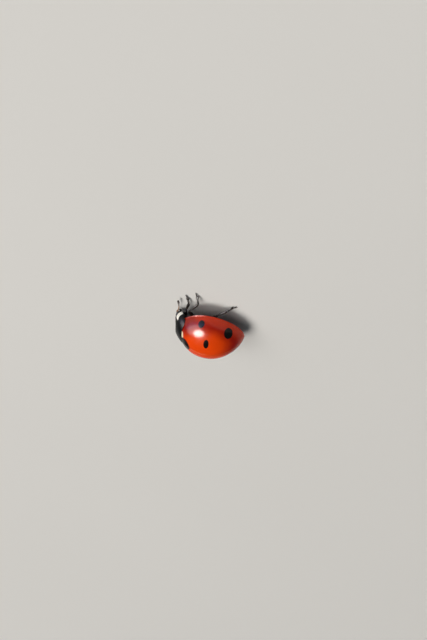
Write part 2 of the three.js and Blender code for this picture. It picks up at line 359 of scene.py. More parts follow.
def wingCaseMaterial():
    # Sclerotised cuticle with a thin wax film: glassy highlights over a deep, slightly
    # uneven orange-red, stippled with fine pits that break up the reflections.
    # Its colour also carries painted light and shade, a painted highlight along the seam and a painted
    # reflection low on the flanks.
    look = wingCaseLook
    settings = {
        "Roughness": 0.26,
        "IOR": 1.5,
        "Specular IOR Level": 0.05,
        "Coat Weight": 0.4,
        "Coat Roughness": 0.19,
        "Coat IOR": 1.5,
    }
    material, tree, shader = newMaterial("waxed cuticle, orange-red with black spots", settings)
    place = objectPlace(tree)
    across, height, folded = foldedPlace(tree, place)
    # the shell's own orange-red, painted most orange on the back where the light falls and redder down
    # the flanks and at both ends where shade falls, a little uneven
    uneven = unevenness(tree, place, **look["glowPatches"])
    glow = spotMask(tree, folded, *look["glow"], wobble=uneven)
    shell = mixColours(tree, glow, linear(look["red"]), linear(look["orange"]))
    # painted reflection: lighter red low on the flanks, near the rim
    start, end = (level * millimetre for level in look["paintedReflectionHeight"])
    low = ramp(tree, height, start, end, look["paintedReflectionShare"], 0.0)
    shell = mixColours(tree, low, shell, linear(look["rim"]))
    # painted shade: the shoulders darkened toward a deep red
    shade = spotMask(tree, folded, *look["shade"], wobble=uneven)
    shade = maths(tree, "MULTIPLY", shade, look["shadeShare"])
    shell = mixColours(tree, shade, shell, linear(look["shoulder"]))
    # painted highlight: a lighter orange line along the seam
    start, end = (width * millimetre for width in look["paintedHighlightWidth"])
    paintedHighlightBySeam = ramp(tree, across, start, end, look["paintedHighlightShare"], 0.0)
    shell = mixColours(tree, paintedHighlightBySeam, shell, linear(look["seam"]))
    border = unevenness(tree, place, **look["border"])
    cream = spotMask(tree, folded, *look["creamPatch"], edge=look["creamEdge"], wobble=border)
    shell = mixColours(tree, cream, shell, linear(look["cream"]))
    for centre, radii in look["spots"] + look["scutellarSpot"]:
        spot = spotMask(tree, folded, centre, radii, edge=look["spotEdge"], wobble=border)
        shell = mixColours(tree, spot, shell, linear(look["spot"]))
    tree.links.new(shell, shader.inputs["Base Color"])
    stippled(tree, shader, place, **look["stipple"])
    return material


neckShieldLook = {
    "black": "#060706",
    "white": "#FFFDF4",
    # the white corner, in shares of the sheet: where it begins and where it is full
    "aside": (0.53, 0.555),
    "forward": (0.69, 0.715),
    "outside": (0.935, 0.95),
    "slantFrom": 0.7,
    "slant": 0.25,
    "border": {"size": 0.3, "detail": 1.0, "amount": 0.04},
    "stipple": {"spacing": 0.05, "share": 0.42, "waves": 0.4, "swell": 1.5, "depth": 0.003},
}


def neckShieldMaterial():
    # The same waxed cuticle, black, with an unpigmented white patch at each front corner.
    look = neckShieldLook
    settings = {
        "Roughness": 0.34,
        "IOR": 1.5,
        "Specular IOR Level": 0.1,
        "Coat Weight": 0.1,
        "Coat Roughness": 0.16,
    }
    material, tree, shader = newMaterial("waxed cuticle, black with white corners", settings)
    place = objectPlace(tree)
    onSheet = node(tree, "ShaderNodeAttribute", {"attribute_name": "sheet"})
    onSheet = node(tree, "ShaderNodeSeparateXYZ", None, {0: onSheet.outputs["Vector"]}).outputs
    border = unevenness(tree, place, **look["border"])
    aside = ramp(tree, maths(tree, "ADD", onSheet[0], border), *look["aside"])
    # its hind edge runs back a little toward the side
    slant = maths(tree, "SUBTRACT", onSheet[0], look["slantFrom"])
    slant = maths(tree, "MULTIPLY", slant, look["slant"])
    forward = maths(tree, "ADD", onSheet[1], maths(tree, "MAXIMUM", slant, 0.0))
    forward = ramp(tree, maths(tree, "ADD", forward, border), *look["forward"])
    white = maths(tree, "MULTIPLY", aside, forward)
    white = maths(tree, "MULTIPLY", white, ramp(tree, onSheet[2], *look["outside"]))
    colour = mixColours(tree, white, linear(look["black"]), linear(look["white"]))
    tree.links.new(colour, shader.inputs["Base Color"])
    stippled(tree, shader, place, **look["stipple"])
    return material


blackLook = {
    "black": "#0C0B0A",
    "brown": "#1C130C",
    "brownPatches": (0.3, 3.0),  # size and detail
    "brownFrom": (0.35, 0.75),
    "white": "#EFE8CF",
    "whiteEdge": 0.12,
    "stipple": {"share": 0.35, "waves": 0.2, "swell": 1.2, "depth": 0.003},
}


def blackMaterial(name, patches=(), roughness=0.3, pitSpacing=0.06):
    # Black waxed cuticle; patches are pale ellipsoids about points of the body.
    look = blackLook
    settings = {
        "Roughness": roughness,
        "IOR": 1.5,
        "Specular IOR Level": 0.15,
        "Coat Weight": 0.12,
        "Coat Roughness": 0.18,
    }
    material, tree, shader = newMaterial(name, settings)
    place = objectPlace(tree)
    folded = foldedPlace(tree, place)[2]
    patchy = ramp(tree, noiseAt(tree, place, *look["brownPatches"]), *look["brownFrom"])
    colour = mixColours(tree, patchy, linear(look["black"]), linear(look["brown"]))
    for centre, radii in patches:
        pale = spotMask(tree, folded, centre, radii, edge=look["whiteEdge"])
        colour = mixColours(tree, pale, colour, linear(look["white"]))
    tree.links.new(colour, shader.inputs["Base Color"])
    stippled(tree, shader, place, pitSpacing, **look["stipple"])
    return material


brownLook = {
    "stalk": "#8A5A22",
    "club": "#2E1C10",
    "grain": 0.08,
    "grainShift": 0.3,  # how far it carries the dark edge
    "ripple": 0.03,
    "rippleDepth": 0.004,
}


def brownMaterial(name, darkFrom, darkTo):
    # Thin unblackened cuticle, yellow-brown, darker to the tip.
    look = brownLook
    settings = {"Roughness": 0.42, "IOR": 1.55, "Coat Weight": 0.2, "Coat Roughness": 0.3}
    material, tree, shader = newMaterial(name, settings)
    place = objectPlace(tree)
    apart = node(tree, "ShaderNodeSeparateXYZ", None, {0: place})
    across = maths(tree, "ABSOLUTE", apart.outputs[0])
    shift = look["grainShift"] * millimetre
    grain = maths(tree, "MULTIPLY", noiseAt(tree, place, look["grain"]), shift)
    dark = ramp(tree, maths(tree, "ADD", across, grain), darkFrom * millimetre, darkTo * millimetre)
    colour = mixColours(tree, dark, linear(look["stalk"]), linear(look["club"]))
    tree.links.new(colour, shader.inputs["Base Color"])
    bumped(tree, shader, noiseAt(tree, place, look["ripple"]), look["rippleDepth"])
    return material


eyeLook = {
    "dark": "#090A0C",
    "glow": "#1D2226",
    "facet": 0.03,
    "facetTone": (0.1, 0.6),  # where the glow ends
    "facetEdge": 0.7,
    "facetHeight": 0.004,
}


def eyeMaterial():
    # Compound eye: a hard clear skin over dark facets, drawn a little coarser than real.
    look = eyeLook
    settings = {"Roughness": 0.18, "IOR": 1.5, "Coat Weight": 0.6, "Coat Roughness": 0.05}
    material, tree, shader = newMaterial("faceted eye cuticle", settings)
    place = objectPlace(tree)
    inputs = {"Vector": place, "Scale": 1 / (look["facet"] * millimetre), "Randomness": 0.2}
    facets = node(tree, "ShaderNodeTexVoronoi", None, inputs).outputs["Distance"]
    tone = ramp(tree, facets, *look["facetTone"])
    colour = mixColours(tree, tone, linear(look["glow"]), linear(look["dark"]))
    tree.links.new(colour, shader.inputs["Base Color"])
    domed = ramp(tree, facets, 0.0, look["facetEdge"], 1.0, 0.0)
    bumped(tree, shader, domed, look["facetHeight"])
    return material


wingCase = {
    "shoulder": 0.985,  # the dome's share of the rim's width
    "inner": 0.93,
    "arcSteps": 26,
    "stations": 46,
    "start": -0.42,
    "seam": -0.002,
    # points of the section, in shares of half width and crown
    "seamEdge": [(0.0, 0.986), (0.004, 0.9935), (0.012, 0.9965), (0.022, 0.9955), (0.032, 0.9905)],
    "top": 0.992,
    "rim": [(0.982, 0.062), (0.983, 0.036), (0.99, 0.027), (0.998, 0.022), (1.0, 0.012), (0.997, 0.002)],
    "flange": [(0.988, -0.003), (0.97, 0.003), (0.92, 0.016), (0.86, 0.022), (0.82, 0.024)],
    "insideEdge": (0.805, 0.04),
    "lining": 0.93,
    "least": 0.02,  # half the size of the first and last rings
}


def wingCaseOutline():
    # half a section, in shares of half width and crown: over the top, round the rolled
    # rim, in along the flange underneath and back up inside
    look = wingCase
    outline = list(look["seamEdge"])
    for i in range(1, look["arcSteps"] + 1):
        angle = math.radians(87.5 - 81.5 * i / look["arcSteps"])
        outline.append((look["shoulder"] * math.cos(angle), look["top"] * math.sin(angle)))
    outline += look["rim"] + look["flange"] + [look["insideEdge"]]
    for i in range(12):
        angle = math.radians(8 + 82 * i / 11)
        across = look["inner"] * look["lining"] * math.cos(angle)
        outline.append((across, look["inner"] * math.sin(angle)))
    return outline


def makeWingCases(material):
    look = wingCase
    stations = []
    span = dome["length"] - look["start"]
    for i in range(look["stations"] + 1):
        share = math.sin(math.pi / 2 * i / look["stations"]) ** 0.9
        y = look["start"] + span * min(share, 0.9995)
        wide, high = (max(size, look["least"]) for size in (halfWidthAt(y), crownAt(y)))
        stations.append((y, wide, high, 0, 0))
    left = sweep("elytronLeft", wingCaseOutline(), stations)
    edit(left)
    bpy.ops.transform.translate(value=(look["seam"], 0, 0))
    deselect()
    smooth(left, 1)
    settlePair(left, "elytron", material)


makeWingCases(wingCaseMaterial())
print("wing cases done")


# the small black triangle between the wing case bases
scutellum = {
    "halfWidth": 0.27,
    "front": -0.3,
    "tip": 0.33,
    "narrowsFrom": 0.35,  # the share of its length where it starts to narrow
    "proud": 0.012,
    "thick": 0.05,
}


def makeScutellum(material):
    look = scutellum
    bpy.ops.mesh.primitive_grid_add(x_subdivisions=16, y_subdivisions=20, size=2)
    obj = bpy.context.object
    obj.name = "scutellum"
    for vertex in obj.data.vertices:
        along = (vertex.co.y + 1) / 2
        y = look["front"] + (look["tip"] - look["front"]) * along
        taper = 1 - max(0, (along - look["narrowsFrom"]) / (1 - look["narrowsFrom"])) ** 1.4
        x = vertex.co.x * look["halfWidth"] * taper
        dip = math.sqrt(1 - (x / halfWidthAt(y)) ** 2)
        vertex.co = (x, y, crownAt(y) * dip + look["proud"] * (1 - vertex.co.x**2))
    wall = obj.modifiers.new("wall", "SOLIDIFY")
    wall.thickness = look["thick"]
    wall.offset = -1
    applyAll(obj)
    outward(obj)
    smooth(obj, 1)
    obj.data.materials.append(material)
    settle(obj, "scutellum")


makeScutellum(blackMaterial("waxed cuticle, black"))

shield = {
    "pitch": 55,
    "pivot": (0, -0.06, 0.1),
    "halfWidth": 1.74,
    "crown": 0.93,
    "hind": 1.4,
    "nose": 1.22,
    "bayFront": 0.19,
    "bayDepth": 0.59,
    "bayHalfWidth": 1.2,
    "corner": 1.05,
    "wall": 0.1,
    "overhang": 0.03,
    "tuck": 16,
    "inset": 0.02,  # how far inside its dome it lies, as a share
    "lip": 0.03,
    "lipFrom": 0.93,
    "bevel": 0.035,
}
pitch = math.radians(shield["pitch"])
shieldFrame = Matrix.Translation(shield["pivot"]) @ Matrix.Rotation(pitch, 4, "X")
bayRadius = (shield["bayHalfWidth"] ** 2 + shield["bayDepth"] ** 2) / (2 * shield["bayDepth"])


def shieldSize(forward):
    wide = shield["halfWidth"] - 0.1 * (0.3 - forward) ** 2
    return wide, shield["crown"] - 0.06 * max(0.0, forward)


def shieldFull(forward):
    # how the shield's dome closes toward its front and back ends
    middle = (shield["hind"] - shield["nose"]) / 2
    half = (shield["hind"] + shield["nose"]) / 2
    share = min(0.999, abs((-forward - middle) / half))
    return (1 - share * share) ** 0.16


def shieldPoint(forward, angle):
    # a point of the shield's dome: how far forward of its hind corners, and the angle
    # from its crown round to a side
    full = shieldFull(forward)
    wide, high = shieldSize(forward)
    return Vector((wide * full * math.sin(angle), -forward, high * full * math.cos(angle)))


def baseMargin(x):
    # the wing cases' base margin seen from above, running forward at each shoulder
    x = min(abs(x), 1.9)
    lobe = -0.14 - 0.15 * math.sin(min(x, 0.85) / 0.85 * math.pi / 2) ** 1.3
    return lobe + 0.38 * max(0.0, (x - 0.85) / 1.05) ** 1.25


def hindForward(angle):
    # how far forward the hind margin is at an angle round the shield
    forward = -0.6
    for _ in range(40):
        point = shieldFrame @ shieldPoint(forward, angle)
        forward += 0.5 * (point.y - baseMargin(point.x) - shield["overhang"])
    return forward


def frontForward(angle):
    # how far forward the front margin is: the round bay of the head, out to the corners
    forward = 0.5
    for _ in range(50):
        x = shieldPoint(forward, angle).x
        reach = math.sqrt(max(0.0, bayRadius**2 - x * x))
        margin = min(shield["corner"], shield["bayFront"] + bayRadius - reach)
        forward += 0.3 * (margin - forward)
    return forward


def shieldAngle(across, along):
    # the front corners are drawn down a little under the sides
    return across * math.radians(90 + shield["tuck"] * along * abs(across) ** 3)


def markSheet(obj):
    # how far to the side and how far forward each point lies between the shield's
    # margins, and how near its outer face, which the white corners follow
    inward = shieldFrame.inverted()
    margins = []
    for step in range(41):
        square = step / 40 * math.pi / 2
        margins.append((hindForward(square), frontForward(square)))
    marks = obj.data.attributes.new("sheet", "FLOAT_VECTOR", "POINT")
    for vertex, mark in zip(obj.data.vertices, marks.data):
        point = inward @ vertex.co
        wide, high = shieldSize(-point.y)
        angle = abs(math.atan2(point.x / wide, point.z / high))
        aside, along = angle / (math.pi / 2), 0.5
        for _ in range(4):
            spot = min(39.999, aside * 40)
            below, above = margins[int(spot)], margins[int(spot) + 1]
            hind, front = (low + (high - low) * (spot % 1) for low, high in zip(below, above))
            along = (-point.y - hind) / (front - hind)
            aside = min(1.0, angle / shieldAngle(1, along * aside**3))
        outside = math.hypot(point.x / wide, point.z / high) / shieldFull(-point.y)
        mark.vector = (aside, along, outside)


def makeNeckShield(material):
    look = shield
    bpy.ops.mesh.primitive_grid_add(x_subdivisions=48, y_subdivisions=22, size=2)
    obj = bpy.context.object
    obj.name = "pronotum"
    margins = {}
    for vertex in obj.data.vertices:
        across, along = vertex.co.x, (vertex.co.y + 1) / 2
        angle = shieldAngle(across, along)
        key = round(across, 4)
        if key not in margins:
            square = across * math.pi / 2
            margins[key] = (hindForward(square), frontForward(square))
        hind, front = margins[key]
        forward = hind + (front - hind) * along
        rise = max(0.0, (abs(across) - look["lipFrom"]) / (1 - look["lipFrom"])) ** 2
        raised = Vector((0, 0, look["lip"] * rise))
        vertex.co = shieldPoint(forward, angle) * (1 - look["inset"]) + raised
    obj.data.transform(shieldFrame)
    edit(obj)
    bpy.ops.mesh.flip_normals()
    deselect()
    wall = obj.modifiers.new("wall", "SOLIDIFY")
    wall.thickness = look["wall"]
    wall.offset = -1
    edge = obj.modifiers.new("edge", "BEVEL")
    edge.width = look["bevel"]
    edge.segments = 3
    edge.angle_limit = math.radians(50)
    applyAll(obj)
    smooth(obj, 1)
    markSheet(obj)
    obj.data.materials.append(material)
    settle(obj, "pronotum")


makeNeckShield(neckShieldMaterial())
print("neck shield done")

# what shows underneath
trunk = {
    "sides": 44,
    "inset": 0.46,  # the flange's width at the rim
    "depth": 0.5,
    "waist": 2.02,
    "sternites": [2.02, 2.95, 3.5, 3.95, 4.35, 4.7, 5.0],
    "step": 0.022,
}


def trunkOutline(count, flat):
    # a ring with its upper half flattened, because wing cases hide it
    return [(x, z * flat if z > 0 else z) for x, z in circleOutline(count)]


def bellyDepthAt(y):
    share = (y - 2.3) / 3.1
    return trunk["depth"] * math.sqrt(max(0.03, 1 - share * share * 0.98))


def makeTrunk(material):
    look = trunk
    outline = trunkOutline(look["sides"], 0.35)

    def station(y, shrink=0.0):
        # level with the flange's underside at its sides
        wide = max(0.08, halfWidthAt(y) - look["inset"] * min(1.0, halfWidthAt(y) / 1.4))
        return (y, wide - shrink, bellyDepthAt(y) - shrink, 0, 0.04)

    front = [station(-0.34, 0.25), station(-0.3, 0.1), station(-0.2, 0.03)]
    chest = front + [station(-0.1 + 0.1 * i) for i in range(20)]
    chest += [station(1.9), station(1.99, 0.02), station(2.01, 0.12)]
    thorax = sweep("thorax", outline, chest)
    belly = [station(look["waist"], 0.12)]
    for start, end in zip(look["sternites"], look["sternites"][1:]):
        # each plate lies a little over the next one
        belly.append(station(start + 0.01, look["step"]))
        for i in range(4):
            y = start + 0.04 + (end - start - 0.05) * i / 3
            belly.append(station(y, look["step"] * (0.6 - 0.2 * i)))
    belly += [station(5.0, 0.04), station(5.05, 0.12), station(5.08, 0.22)]
    abdomen = sweep("abdomen", outline, belly)
    for obj, nodeName in ((thorax, "thorax"), (abdomen, "abdomen")):
        smooth(obj, 1)
        obj.data.materials.append(material)
        settle(obj, nodeName)


hairyBlack = blackMaterial(
    "cuticle under fine hair, black",
    patches=[((1.72, 0.12, -0.08), (0.16, 0.26, 0.2))],
    roughness=0.5,
    pitSpacing=0.045,
)
makeTrunk(hairyBlack)


prothorax = {
    # how far forward, half width, top and bottom in the neck shield's own frame
    "stations": [
        (-0.52, 1.2, 0.5, -0.3),
        (-0.45, 1.42, 0.66, -0.42),
        (-0.3, 1.52, 0.74, -0.5),
        (-0.1, 1.56, 0.76, -0.54),
        (0.08, 1.56, 0.7, -0.55),
        (0.25, 1.54, 0.46, -0.55),
        (0.45, 1.5, 0.28, -0.54),
        (0.62, 1.42, 0.14, -0.5),
        (0.74, 1.3, 0.06, -0.42),
        (0.82, 1.05, -0.02, -0.3),
    ],
}


def makeProthorax(material):
    # fills the neck shield from below and holds the head
    stations = [
        (-forward, wide, (top - bottom) / 2, 0, (top + bottom) / 2)
        for forward, wide, top, bottom in reversed(prothorax["stations"])
    ]
    obj = sweep("prothorax", circleOutline(36), stations)
    obj.data.transform(shieldFrame)
    smooth(obj, 1)
    obj.data.materials.append(material)
    settle(obj, "prothorax")


makeProthorax(hairyBlack)
print("trunk done")

head = {
    "fullness": 0.8,  # how square it is across: 1 would be an ellipse
    "pitch": 75,
    "centre": (0, -0.8, -0.64),
    # from under the shield down to the mouth: how far down, half width, half depth and
    # how far drawn forward
    "stations": [
        (-1.0, 0.46, 0.05, 0.2),
        (-0.97, 0.62, 0.11, 0.19),
        (-0.86, 0.78, 0.19, 0.15),
        (-0.66, 0.86, 0.25, 0.08),
        (-0.4, 0.89, 0.29, 0.02),
        (-0.12, 0.9, 0.3, 0.0),
        (0.08, 0.87, 0.3, 0.0),
        (0.22, 0.78, 0.29, 0.0),
        (0.34, 0.64, 0.27, 0.0),
        (0.42, 0.55, 0.245, 0.0),
        (0.45, 0.53, 0.21, 0.0),
        (0.54, 0.47, 0.19, 0.0),
        (0.6, 0.41, 0.14, 0.0),
        (0.62, 0.34, 0.09, 0.0),
    ],
    "paleSpots": [((0.63, -1.06, -0.72), (0.085, 0.2, 0.1))],
}


def makeHead(material):
    look = head
    stations = [(-down, wide, deep, 0, out) for down, wide, deep, out in reversed(look["stations"])]
    full = look["fullness"]
    outline = [
        tuple(math.copysign(abs(side) ** full, side) for side in point) for point in circleOutline(36)
    ]
    obj = sweep("head", outline, stations)
    turn = Matrix.Rotation(math.radians(look["pitch"]), 4, "X")
    obj.data.transform(Matrix.Translation(look["centre"]) @ turn)
    smooth(obj, 1)
    obj.data.materials.append(material)
    settle(obj, "head")


makeHead(blackMaterial("waxed cuticle, black with pale spots", patches=head["paleSpots"]))

eye = {"at": (0.8, -0.82, -0.8), "radii": (0.21, 0.26, 0.35), "notch": 0.03}


def makeEyes(material):
    look = eye
    for side, sign in sides.items():
        x, y, z = look["at"]
        bpy.ops.mesh.primitive_uv_sphere_add(segments=32, ring_count=18, radius=1, location=(0, 0, 0))
        obj = bpy.context.object
        obj.name = "eye" + side.capitalize()
        edit(obj)
        bpy.ops.transform.resize(value=look["radii"], center_override=(0, 0, 0))
        # the front edge is notched where the cheek runs into it
        edit(obj, lambda co: co.y < -0.15 and abs(co.z + 0.02) < 0.08)
        bpy.ops.transform.translate(value=(0, look["notch"], 0))
        edit(obj)
        bpy.ops.transform.translate(value=(sign * x, y, z))
        smooth(obj, 1)
        obj.data.materials.append(material)
        settle(obj, "eye_" + side)


makeEyes(eyeMaterial())


def spindle(name, sidesCount, stations):
    # a closed rod along Y from (how far, half width, half height, drift in X, drift in Z)
    return sweep(name, circleOutline(sidesCount), stations)


def layBetween(obj, start, end, up=(0, 0, 1)):
    # turns a rod modelled along Y from 0, so it runs from one point to the other
    along = (Vector(end) - Vector(start)).normalized()
    side = along.cross(Vector(up)).normalized()
    above = side.cross(along)
    turn = Matrix((side, along, above)).transposed().to_4x4()
    obj.data.transform(Matrix.Translation(start) @ turn)


def bead(name, start, end, radius, neck=0.62):
    # one joint of a feeler: narrow at its root, widest near its end, where the next one
    # is let into it
    length = (Vector(end) - Vector(start)).length
    shape = [(-0.06, neck * 0.8), (0.04, neck), (0.3, 0.84), (0.62, 1.0), (0.86, 1.05)]
    shape += [(0.97, 0.96), (1.0, 0.7)]
    stations = [(length * t, radius * size, radius * size, 0, 0) for t, size in shape]
    obj = spindle(name, 12, stations)
    layBetween(obj, start, end)
    return obj


antenna = {
    "root": (0.62, -1.04, -1.1),
    "bend": (1.3, -0.74, -1.2),
    "tip": (2.5, -0.88, -1.14),
    # length and radius of each joint in shares and millimetres, root to tip
    "joints": [
        (0.24, 0.088),
        (0.11, 0.066),
        (0.19, 0.05),
        (0.13, 0.046),
        (0.13, 0.046),
        (0.12, 0.047),
        (0.11, 0.05),
        (0.1, 0.058),
        (0.13, 0.088),
        (0.12, 0.112),
        (0.14, 0.106),
    ],
    "club": 3,  # the last joints, which sit close together
}


def makeAntennae(material):
    look = antenna
    total = sum(length for length, _ in look["joints"])
    root, bend, end = (Vector(look[key]) for key in ("root", "bend", "tip"))

    def along(share):
        # a gentle bow from the head out to the side
        first = root.lerp(bend, share)
        second = bend.lerp(end, share)
        return first.lerp(second, share)

    pieces = []
    done = 0.0
    for count, (length, radius) in enumerate(look["joints"]):
        start, finish = along(done / total), along((done + length) / total)
        inClub = count > len(look["joints"]) - look["club"]
        pieces.append(bead("feelerJoint", start, finish, radius, neck=0.86 if inClub else 0.62))
        done += length
    left = joined(pieces, "antennaLeft")
    smooth(left, 1)
    settlePair(left, "antenna", material)


feelerBrown = brownMaterial("thin cuticle, yellow-brown to dark", 1.75, 2.05)
makeAntennae(feelerBrown)

mouth = {
    "labrum": {"at": (0, -1.04, -1.25), "size": (0.6, 0.22, 0.18)},
    "mandible": {"root": (0.34, -0.84, -1.2), "tip": (0.05, -0.94, -1.42), "radius": 0.13},
    "palp": {"root": (0.42, -0.7, -1.16), "bend": (0.66, -0.7, -1.26), "tip": (0.92, -0.66, -1.3)},
}


def makeMouth(black, brown):
    look = mouth["labrum"]
    bpy.ops.mesh.primitive_cube_add(size=1, location=(0, 0, 0))
    lip = bpy.context.object
    lip.name = "labrum"
    edit(lip)
    bpy.ops.transform.resize(value=look["size"], center_override=(0, 0, 0))
    bpy.ops.mesh.subdivide(number_cuts=2)
    edit(lip, lambda co: co.z < -0.09 and abs(co.x) > 0.2)
    bpy.ops.transform.translate(value=(0, 0, 0.06))
    edit(lip, lambda co: co.y < -0.1)
    bpy.ops.transform.resize(value=(0.85, 1, 0.7), center_override=(0, -0.1, 0))
    edit(lip)
    bpy.ops.transform.translate(value=look["at"])
    smooth(lip, 3)
    lip.data.materials.append(black)
    settle(lip, "labrum")

    look = mouth["mandible"]
    root, end = Vector(look["root"]), Vector(look["tip"])
    length = (end - root).length
    shape = [(0, 0.7), (0.1, 0.95), (0.35, 1.0), (0.6, 0.75), (0.85, 0.4), (1.0, 0.12)]
    stations = [
        (length * t, look["radius"] * s, look["radius"] * s * 0.75, 0.09 * math.sin(math.pi * t), 0)
        for t, s in shape
    ]
    jaw = spindle("mandibleLeft", 14, stations)
    layBetween(jaw, root, end, up=(0, -1, 0))
    smooth(jaw, 1)
    settlePair(jaw, "mandible", brown)

    look = mouth["palp"]
    root, bend, end = (Vector(look[key]) for key in ("root", "bend", "tip"))
    pieces = [
        bead("palpJoint", root, root.lerp(bend, 0.5), 0.07),
        bead("palpJoint", root.lerp(bend, 0.5), bend, 0.075),
    ]
    # the last joint is shaped like an axe head
    length = (end - bend).length
    shape = [(0, 0.05, 0.05), (0.2, 0.075, 0.06), (0.7, 0.14, 0.07)]
    shape += [(0.92, 0.165, 0.065), (1.0, 0.14, 0.03)]
    blade = spindle("palpBlade", 16, [(length * t, w, h, 0.05 * t, 0) for t, w, h in shape])
    layBetween(blade, bend, end)
    pieces.append(blade)
    left = joined(pieces, "palpLeft")
    smooth(left, 1)
    settlePair(left, "palp", black)


glossyBlack = blackMaterial("waxed cuticle, black, limbs", roughness=0.34, pitSpacing=0.05)
makeMouth(glossyBlack, brownMaterial("thick cuticle, red-brown jaw", 0.1, 0.3))
print("head done")

bristle = {
    "colour": "#7A5A34",
    "dark": "#3A2A18",
    "thick": 0.006,
    "tip": 0.001,
    "length": 0.085,
    "sizes": (0.6, 1.1),
    "spread": 0.6,  # how far it stands off the limb: at 0 it would lie along it
    "perSquareMillimetre": 150,
}


def bristleMaterial():
    # Fine chitin bristles, amber, paler than the leg.
    settings = {"Roughness": 0.4, "IOR": 1.55}
    material, tree, shader = newMaterial("chitin bristle, amber", settings)
    tones = noiseAt(tree, objectPlace(tree), 0.15)
    colour = mixColours(tree, tones, linear(bristle["dark"]), linear(bristle["colour"]))
    tree.links.new(colour, shader.inputs["Base Color"])
    return material


def addBristles(obj, toward, material, lowest, seed, length=1.0, amount=1.0):
    # short bristles scattered over a limb, leaning toward its tip
    tree = bpy.data.node_groups.new("bristles", "GeometryNodeTree")
    tree.interface.new_socket("Geometry", in_out="INPUT", socket_type="NodeSocketGeometry")
    tree.interface.new_socket("Geometry", in_out="OUTPUT", socket_type="NodeSocketGeometry")
    limbIn = node(tree, "NodeGroupInput").outputs[0]
    place = node(tree, "GeometryNodeInputPosition").outputs[0]
    place = node(tree, "ShaderNodeSeparateXYZ", None, {0: place})
    high = node(tree, "ShaderNodeMath", {"operation": "GREATER_THAN"}, {0: place.outputs[2], 1: lowest})
    density = bristle["perSquareMillimetre"] * amount
    inputs = {"Mesh": limbIn, "Selection": high.outputs[0], "Density": density, "Seed": seed}
    method = {"distribute_method": "RANDOM"}
    roots = node(tree, "GeometryNodeDistributePointsOnFaces", method, inputs)
    inputs = {0: roots.outputs["Normal"], 1: (bristle["spread"],) * 3, 2: tuple(toward.normalized())}
    lean = node(tree, "ShaderNodeVectorMath", {"operation": "MULTIPLY_ADD"}, inputs)
    turn = node(tree, "FunctionNodeAlignRotationToVector", {"axis": "Z"}, {"Vector": lean.outputs[0]})
    inputs = {"Vertices": 4, "Radius Top": bristle["tip"], "Radius Bottom": bristle["thick"]}
    inputs["Depth"] = bristle["length"] * length
    hair = node(tree, "GeometryNodeMeshCone", None, inputs)
    inputs = {"Geometry": hair.outputs[0], "Material": material}
    coloured = node(tree, "GeometryNodeSetMaterial", None, inputs)
    least, most = bristle["sizes"]
    inputs = {2: least, 3: most, "Seed": seed}
    sizes = node(tree, "FunctionNodeRandomValue", {"data_type": "FLOAT"}, inputs)
    inputs = {"Points": roots.outputs["Points"], "Instance": coloured.outputs[0]}
    inputs |= {"Rotation": turn.outputs[0], "Scale": sizes.outputs[1]}
    planted = node(tree, "GeometryNodeInstanceOnPoints", None, inputs)
    real = node(tree, "GeometryNodeRealizeInstances", None, {0: planted.outputs[0]})
    whole = node(tree, "GeometryNodeJoinGeometry")
    tree.links.new(real.outputs[0], whole.inputs[0])
    tree.links.new(limbIn, whole.inputs[0])
    node(tree, "NodeGroupOutput", None, {0: whole.outputs[0]})
    coat = obj.modifiers.new("bristles", "NODES")
    coat.node_group = tree
    applyAll(obj)


legs = {
    "fore": {
        "hip": (0.48, -0.2, -0.58),
        "knee": (1.55, -0.22, 0.68),
        "ankle": (2.42, 0.04, 0.42),
        "foot": (3.02, -0.22, 0.2),
    },
    "mid": {
        "hip": (0.8, 0.86, -0.52),
        "knee": (2.14, 0.2, 1.04),
        "ankle": (2.95, 0.98, 0.62),
        "foot": (3.68, 0.7, 0.2),
    },
    "hind": {
        "hip": (0.86, 1.98, -0.5),
        "knee": (1.95, 2.8, 0.76),
        "ankle": (2.52, 3.62, 0.48),
        "foot": (2.84, 4.3, 0.2),
    },
}
limb = {
    # shares along each length, half width and half height in millimetres
    "coxa": [(0.0, 0.1), (0.12, 0.19), (0.4, 0.25), (0.75, 0.22), (1.0, 0.12)],
    "femur": [
        (0.0, 0.07, 0.07),
        (0.06, 0.1, 0.09),
        (0.14, 0.1, 0.09),
        (0.2, 0.14, 0.1),
        (0.45, 0.2, 0.14),
        (0.7, 0.185, 0.13),
        (0.9, 0.14, 0.105),
        (0.98, 0.11, 0.09),
        (1.02, 0.06, 0.05),
    ],
    "tibia": [
        (-0.02, 0.05, 0.05),
        (0.03, 0.08, 0.075),
        (0.12, 0.085, 0.075),
        (0.3, 0.1, 0.085),
        (0.6, 0.12, 0.095),
        (0.88, 0.135, 0.1),
        (0.98, 0.12, 0.09),
        (1.01, 0.07, 0.05),
    ],
    "padFirst": [
        (0, 0.05, 0.05),
        (0.15, 0.075, 0.065),
        (0.6, 0.1, 0.075),
        (0.9, 0.105, 0.07),
        (1.0, 0.06, 0.04),
    ],
    "padSecond": [
        (0, 0.05, 0.05),
        (0.2, 0.1, 0.06),
        (0.65, 0.15, 0.075),
        (0.95, 0.16, 0.07),
        (1.05, 0.1, 0.04),
    ],
    "padLast": [
        (0, 0.03, 0.03),
        (0.2, 0.04, 0.04),
        (0.6, 0.052, 0.05),
        (0.92, 0.065, 0.06),
        (1.0, 0.04, 0.035),
    ],
}


def makeSegment(name, start, end, shape, bow=0.0):
    length = (end - start).length
    stations = [(length * t, wide, high, 0, bow * math.sin(math.pi * t)) for t, wide, high in shape]
    obj = spindle(name, 18, stations)
    layBetween(obj, start, end)
    return obj


